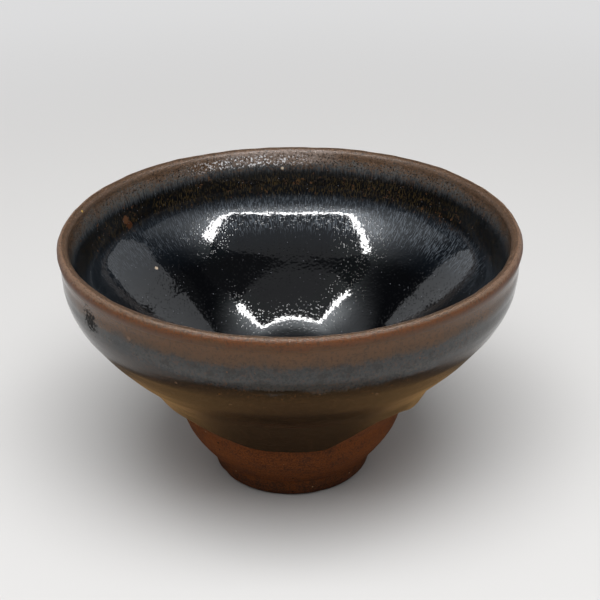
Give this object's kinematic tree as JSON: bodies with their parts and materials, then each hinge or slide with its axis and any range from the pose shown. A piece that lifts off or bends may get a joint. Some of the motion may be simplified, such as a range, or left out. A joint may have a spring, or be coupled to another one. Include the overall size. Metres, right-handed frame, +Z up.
{
  "type": "tea bowl",
  "caption": "Flaring stoneware tea bowl with a turned foot ring, glazed inside and out, the outside glaze ending above the foot in a thick wavy roll.",
  "frame": {"origin": "centre of the foot ring's resting face, on the bowl's axis", "axes": "+Z up through the mouth, -Y the front as pictured, +X to the right of it"},
  "size_m": [0.124, 0.124, 0.071],
  "materials": {
    "bare_stoneware": "matte iron-rich clay, rust brown, fine grit and small dark pits",
    "inside_glaze": "glossy black glaze with fine hare's-fur streaks, brown at the lip, blue-black in the well",
    "outside_glaze": "glossy black-brown glaze, rust brown under the lip, a steel-blue band on the shoulder"
  },
  "bodies": {
    "root": {"stoneware_body": "bare_stoneware", "inside_glaze": "inside_glaze", "outside_glaze": "outside_glaze"}
  },
  "joints": []
}
